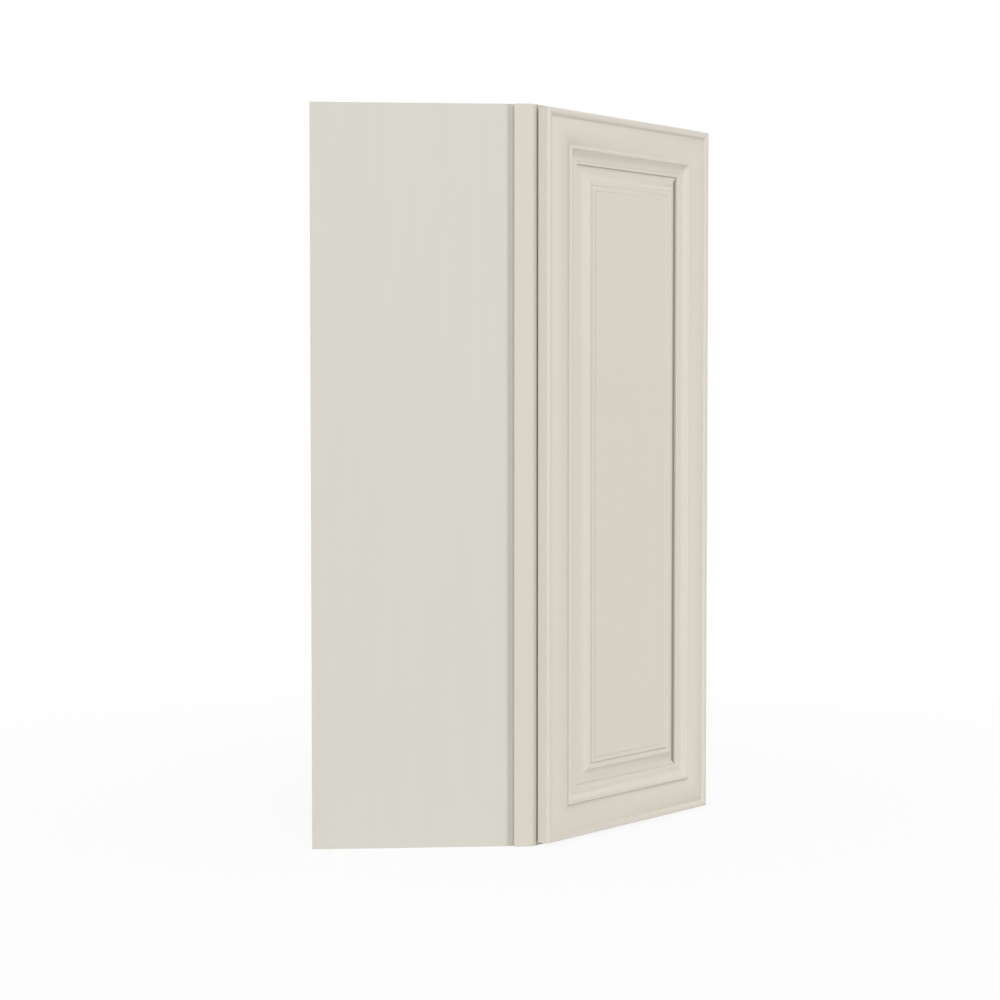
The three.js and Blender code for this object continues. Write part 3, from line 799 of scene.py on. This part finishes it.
# %% [markdown]
# ## The boards of the box, and the shelves
#
# The boards have the right shape already: grooves, dadoes, peg holes and slanted edges. What they lack is
# the slight rounding that a sander leaves, and a grain map. So each is a copy of its piece of the frame:
# its loose triangles are merged, flat neighbours dissolved, and the long arrises bevelled, while the rims
# of the holes stay crisp. Then the map is laid along the board's own grain, and the faces are sorted into
# plywood face, plywood edge and paint by the way they look.


# %% A board with eased arrises
def eased(node, roundness, shortest=15 * MM):
    """A copy of a frame piece, merged, with its long sharp edges rounded."""
    board = bpy.data.objects.new(node + "_eased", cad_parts[node].data.copy())
    bpy.context.scene.collection.objects.link(board)
    make_only(board)
    bpy.ops.object.mode_set(mode="EDIT")
    bpy.ops.mesh.select_all(action="SELECT")
    bpy.ops.mesh.remove_doubles(threshold=HAIR)
    bpy.ops.mesh.dissolve_limited(angle_limit=FLAT)
    select("edges", lambda edge: edge.calc_length() > shortest and edge.calc_face_angle(0) > SHARP)
    bpy.ops.mesh.bevel(offset=roundness, segments=2, affect="EDGES")
    bpy.ops.object.mode_set(mode="OBJECT")
    return board


# %% The map called grain, and the sorting of the faces
FACING = 0.7  # cosine between a face's normal and a direction, above which it faces that way
CROSS_SHIFT = 0.7  # how far the map moves across the grain, for each metre along it


def shows_plies(face, through):
    """Whether a face is on the edge of the board."""
    return abs(face.normal.dot(through)) < FACING


def lay_grain(board, grain, through, shift):
    """Metres along and across the grain on a face; along the edge and through the board on an edge."""
    across = grain.cross(through)
    start = min(corner.co.dot(through) for corner in board.data.vertices)
    layer = board.data.uv_layers.new(name="grain")
    for face in board.data.polygons:
        on_edge = shows_plies(face, through)
        along_edge = face.normal.cross(through)
        for corner in face.loop_indices:
            place = board.data.vertices[board.data.loops[corner].vertex_index].co
            if on_edge:
                layer.data[corner].uv = place.dot(along_edge) + shift, place.dot(through) - start
            else:
                layer.data[corner].uv = place.dot(grain) + shift, place.dot(across) + CROSS_SHIFT * shift


def sort_faces(board, materials, which):
    """Gives the board its materials, and each face the number of its own."""
    board.data.materials.clear()
    for material in materials:
        board.data.materials.append(material)
    for face in board.data.polygons:
        face.material_index = which(face)


# %% The boards that are bare plywood
X, Y, Z = Vector((1, 0, 0)), Vector((0, 1, 0)), UP
BOARD_SHIFT = 0.37  # each board starts elsewhere in the figure, so that no two look alike

boards = [
    # piece, direction of its grain, direction through it, rounding of its arrises
    ("left_back_panel", Z, X, 0.3 * MM),
    ("right_back_panel", Z, Y, 0.3 * MM),
    ("top_panel", X, Z, 0.3 * MM),
    ("bottom_panel", X, Z, 0.3 * MM),
    ("upper_left_hanging_rail", Y, X, 0.6 * MM),
    ("upper_right_hanging_rail", X, Y, 0.6 * MM),
    ("lower_left_hanging_rail", Y, X, 0.6 * MM),
    ("lower_right_hanging_rail", X, Y, 0.6 * MM),
]
for number, (node, grain, through, roundness) in enumerate(boards):
    board = eased(node, roundness)
    lay_grain(board, grain, through, shift=BOARD_SHIFT * number)
    sort_faces(board, [plywood_face, plywood_edge], lambda face: int(shows_plies(face, through)))
    close_piece(board, None, "cabinet", "plywood", node, smooth=30)

# %% [markdown]
# The sides are painted on the outside only. Their other face is plywood, like the inside of the rest, and
# the plies show at their top, bottom and rear edges. The shelves have a strip of birch glued over the
# plies of their front edge, which looks out of the cabinet; there the face finish goes round the edge.

# %% Sides and shelves
SIDE_SHIFT = 2.1
SHELF_SHIFT = 0.53

for node, through, outside in [("left_side_panel", Y, -Y), ("right_side_panel", X, X)]:
    side = eased(node, 0.5 * MM)
    lay_grain(side, Z, through, shift=SIDE_SHIFT + outside.x)
    sort_faces(
        side,
        [plywood_face, plywood_edge, side_paint],
        lambda face: 2 if face.normal.dot(outside) > FACING else int(shows_plies(face, through)),
    )
    close_piece(side, None, "cabinet", "side_paint", node, smooth=30)

SHELVES = (1, 2, 3)
for number in SHELVES:
    node = f"shelf_{number}"
    shelf = eased(node, 0.9 * MM)
    lay_grain(shelf, ALONG, Z, shift=SHELF_SHIFT * number)
    sort_faces(
        shelf,
        [plywood_face, plywood_edge],
        lambda face: int(shows_plies(face, Z) and face.normal.dot(OUT) < FACING),
    )
    close_piece(shelf, None, "cabinet", "shelf_board", node, smooth=30)

# %% [markdown]
# ## Pegs and bumpers
#
# A shelf peg is turned: a shank that goes into its hole, a collar that stops against the board, and a head
# that the shelf lies on. A lathe is imitated by a circle that is lifted ring by ring and scaled to the
# radius of the next ring. The peg is turned once, and each of the twelve is a copy with its own mesh. The
# bumpers on the door's back, drops of clear plastic, are turned in the same way.


# %% Turning a piece on a lathe
def turned(name, rings, sides=32):
    """A turned piece standing on Z; each ring is a radius and a height in millimetres."""
    radius, height = rings[0]
    place = {"radius": radius * MM, "location": (0, 0, height * MM)}
    piece = open_piece(name, bpy.ops.mesh.primitive_circle_add, vertices=sides, fill_type="NGON", **place)
    for (radius, height), (next_radius, next_height) in zip(rings, rings[1:]):
        lift((next_height - height) * MM)
        scale_about_axis(next_radius / radius, next_radius / radius)
    bpy.ops.mesh.select_all(action="SELECT")
    bpy.ops.mesh.normals_make_consistent(inside=False)
    bpy.ops.object.mode_set(mode="OBJECT")
    bpy.ops.object.transform_apply(location=True, rotation=True, scale=True)
    return piece


def copied(model, name, seat, axis):
    """A copy of a modelled piece, moved to its seat with its Z turned to the axis."""
    piece = bpy.data.objects.new(name, model.data.copy())
    bpy.context.scene.collection.objects.link(piece)
    piece.matrix_world = seat_at(seat, axis)
    make_only(piece)
    bpy.ops.object.transform_apply(location=True, rotation=True, scale=True)
    return piece


PEG_DEPTH = 9  # in millimetres, as the rings are
peg_rings = [
    (1.6, -PEG_DEPTH),
    (2.2, -8.4),
    (2.2, 0.3),
    (3.9, 0.3),
    (4.2, 0.5),
    (4.2, 1.1),
    (3.9, 1.3),
    (3.2, 1.3),
    (3.2, 7.2),
    (3.0, 7.7),
    (2.5, 8.0),
]
peg = turned("peg_model", peg_rings)
peg_directions = {"left_side": Y, "right_side": -X, "left_back": X, "right_back": -Y}
for number in SHELVES:
    for place, axis in peg_directions.items():
        node = f"shelf_{number}_{place}_peg"
        low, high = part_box(node)
        middle = (low + high) / 2
        foot = reach(node, axis)[0] + PEG_DEPTH * MM
        seat = middle + axis * (foot - middle.dot(axis))
        close_piece(copied(peg, node + "_turned", seat, axis), screw_nickel, "cabinet", "peg_metal", node)
bpy.data.objects.remove(peg)

# %% The bumpers on the back of the door
bumper_rings = [(3.7, 0), (4, 0.2), (4, 0.9), (3.8, 1.4), (3.3, 1.9), (2.5, 2.2), (1.4, 2.37), (0.4, 2.4)]
bumper = turned("bumper_model", bumper_rings)
for place in ("upper", "lower"):
    node = place + "_bumper"
    low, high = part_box(node)
    middle = (low + high) / 2
    seat = middle + OUT * (reach(node, OUT)[1] - middle.dot(OUT))
    close_piece(copied(bumper, node + "_drop", seat, -OUT), clear_plastic, "door", "bumper_rubber", node)
bpy.data.objects.remove(bumper)

# %% [markdown]
# ## Hinges and their screws
#
# Each hinge is a pressed cup let into the door, an arm that turns on the cup's pin, and a plate on the
# edge of the frame. Their shapes are right, so they are merged and their edges eased, as on the boards.
# Five screws hold each one: two flush ones in the ears of the cup, two in the plate, and one through the
# slot of the arm. Their crossed recesses are cut with two narrow blocks, one across the other.

# %% The pressed parts
for hinge in HINGES:
    for part, body in (("cup", "door"), ("arm", "cabinet"), ("plate", "cabinet")):
        node = f"{hinge}_hinge_{part}"
        pressed = eased(node, 0.2 * MM, shortest=1.2 * MM)
        close_piece(pressed, hinge_nickel, body, "hinge_metal", node, smooth=40)


# %% A screw with a crossed recess
RECESS_LENGTH = 4.2 * MM
RECESS_WIDTH = 0.8 * MM


def screw(name, rings, recess_depth):
    """A screw standing on Z, its head up."""
    model = turned(name, rings, sides=28)
    top = rings[-1][1] * MM
    for turn in (0, math.pi / 2):
        bpy.ops.mesh.primitive_cube_add(size=1, location=(0, 0, top), rotation=(0, 0, turn))
        blade = bpy.context.object
        blade.scale = (RECESS_LENGTH, RECESS_WIDTH, 2 * recess_depth)
        bpy.context.view_layer.update()
        make_only(model)
        modify(model, "BOOLEAN", operation="DIFFERENCE", solver="EXACT", object=blade)
        bpy.data.objects.remove(blade)
    return model


flush_rings = [(1.5, -9), (1.8, -8.5), (1.8, 0), (1.9, 0.05), (3.4, 0.55), (3.4, 0.7), (2.9, 0.85)]
pan_rings = [(1.5, -11), (1.9, -10.5), (1.9, 0), (3.6, 0), (3.8, 0.3), (3.7, 0.9), (3.1, 1.5), (2.4, 1.8)]
flush_screw = screw("flush_screw_model", flush_rings, recess_depth=0.5 * MM)
pan_screw = screw("pan_screw_model", pan_rings, recess_depth=1.0 * MM)

# %% Five screws for each hinge
EAR_SCREW_SPACING = 45 * MM
PLATE_SCREW_SPACING = 32 * MM
EAR_OFFSET = 9.5 * MM  # from the middle of the cup
ARM_HEIGHT = 2.3 * MM  # face of the arm, off the face of the plate


def drive(screw_model, name, seat, axis, body):
    """Sets a copy of a screw in its place, its head towards the axis."""
    close_piece(copied(screw_model, name, seat, axis), screw_nickel, body, "hinge_metal")


stile_middle = (frame_front + frame_back) / 2
for hinge in HINGES:
    middle = cup_centre(hinge)
    flange = middle + OUT * (reach(f"{hinge}_hinge_cup", OUT)[0] - door_back)
    plate = ALONG * reach(f"{hinge}_hinge_plate", ALONG)[0] + OUT * stile_middle + UP * middle.z
    for number, side in ((1, -1), (2, 1)):
        ear = flange - ALONG * EAR_OFFSET + UP * side * EAR_SCREW_SPACING / 2
        drive(flush_screw, f"{hinge}_hinge_ear_screw_{number}", ear, -OUT, "door")
        seat = plate + UP * side * PLATE_SCREW_SPACING / 2
        drive(pan_screw, f"{hinge}_hinge_plate_screw_{number}", seat, -ALONG, "cabinet")
    drive(pan_screw, f"{hinge}_hinge_arm_screw", plate - ALONG * ARM_HEIGHT, -ALONG, "cabinet")
bpy.data.objects.remove(flush_screw)
bpy.data.objects.remove(pan_screw)
print("screws:", 5 * len(HINGES))

# %% [markdown]
# ## Floor, background and light
#
# The photograph is a catalogue picture: the cabinet is cut out on pure white, and its light is soft and
# comes mostly from the front and above. The room here is a pale floor and a pale sky that light the piece
# from all sides. The camera sees both as white, straight or in a shine, though the floor keeps a soft
# shadow near the cabinet. The mouldings are brightest where they look up or to the left, so the main lamp
# is high, in front of the left side. A weaker one lower down, between the side and the door, evens the two
# out, and a faint one from the left lights the slopes that look that way. The light is the same from top
# to bottom, so all three lamps are far away and broad.

# %% The floor and the sky
WHITE = (1, 1, 1, 1)
FLOOR_SIZE = 40
FLOOR_PALE = 0xE6E6E5
FLOOR_GREY = 0xE0E0DF
FLOOR_PATCHES = 30  # per metre
FLOOR_SHADOW = 0.8  # metres from the middle, about as far as the cabinet's soft shadow shows
NEAR_GLOW = 0.94  # share of white at that distance
GLOW_GAIN = 0.06  # added for each metre further out, and taken off for each metre nearer in


def shown(tree):
    """1 for rays that show a surface: straight to the camera, in a shine, or through clear plastic."""
    kinds = "Is Camera Ray", "Is Glossy Ray", "Is Transmission Ray"
    return total(Reading(tree).node("LightPath", output=kind) for kind in kinds).between_0_and_1()


def white_floor():
    """A pale floor that the camera sees as white, apart from the soft shadow near the middle."""
    material, place, set_sockets = finish("white_floor")
    tree = material.node_tree
    patches = place.noise(FLOOR_PATCHES, detail=3)
    set_sockets(Base_Color=patches.mixed(colour(FLOOR_PALE), colour(FLOOR_GREY)), Roughness=0.8)
    glow = place.node("Emission", None, {"Color": WHITE, "Strength": 1.0})
    away = place.node("VectorMath", {"operation": "LENGTH"}, {0: place}, "Value")
    glow_share = (NEAR_GLOW + GLOW_GAIN * (away - FLOOR_SHADOW)).between_0_and_1()
    lit = Reading(tree, tree.nodes["Principled BSDF"].outputs[0])
    surface = place.node("MixShader", None, {0: glow_share * shown(tree), 1: lit, 2: glow})
    tree.links.new(surface.output, tree.nodes["Material Output"].inputs["Surface"])
    return material


bpy.ops.object.select_all(action="DESELECT")
bpy.ops.mesh.primitive_plane_add(size=FLOOR_SIZE)
floor = bpy.context.object
floor.name = "floor"
floor.data.materials.append(white_floor())
floor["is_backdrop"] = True

SKY_LIGHT = 0.56  # strength of the sky's light on the piece
world = bpy.data.worlds.new("sky")
bpy.context.scene.world = world
world.use_nodes = True
sky = world.node_tree.nodes["Background"]
sky.inputs["Color"].default_value = WHITE
strength = SKY_LIGHT + (1 - SKY_LIGHT) * shown(world.node_tree)
world.node_tree.links.new(strength.output, sky.inputs["Strength"])
print("floor and sky:", floor.name, world.name)


# %% The lamps
LAMP_SPREAD = 30  # degrees of the sky that a lamp fills
LAMP_DISTANCE = 3  # where it is drawn; such a lamp shines alike from any distance


def lamp(name, azimuth, elevation, strength):
    """A wide, far lamp that shines evenly; azimuth 0 is straight in front of the left side."""
    around, above = math.radians(azimuth), math.radians(elevation)
    level = Vector((math.sin(around), -math.cos(around), 0))
    toward = level * math.cos(above) + UP * math.sin(above)
    bpy.ops.object.light_add(type="SUN", location=LAMP_DISTANCE * toward)
    light = bpy.context.object
    light.name = name
    light.rotation_euler = toward.to_track_quat("Z", "Y").to_euler()
    light.data.angle = math.radians(LAMP_SPREAD)
    light.data.energy = strength


lamp("high_lamp", azimuth=0, elevation=50, strength=0.9)
lamp("front_lamp", azimuth=25, elevation=8, strength=0.6)
lamp("left_lamp", azimuth=-50, elevation=25, strength=0.25)

# %% [markdown]
# ## Measuring up
#
# The finishes must not make the cabinet larger. The box round the pieces as they were loaded and the box
# round them as they are now are both measured, and how far the upper corner has moved is printed.

# %% Both boxes, and the end
visual_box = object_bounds()
growth = [(now - then) / MM for then, now in zip(cad_box[1], visual_box[1])]
print("upper corner moved by, in millimetres:", [round(amount, 3) for amount in growth])
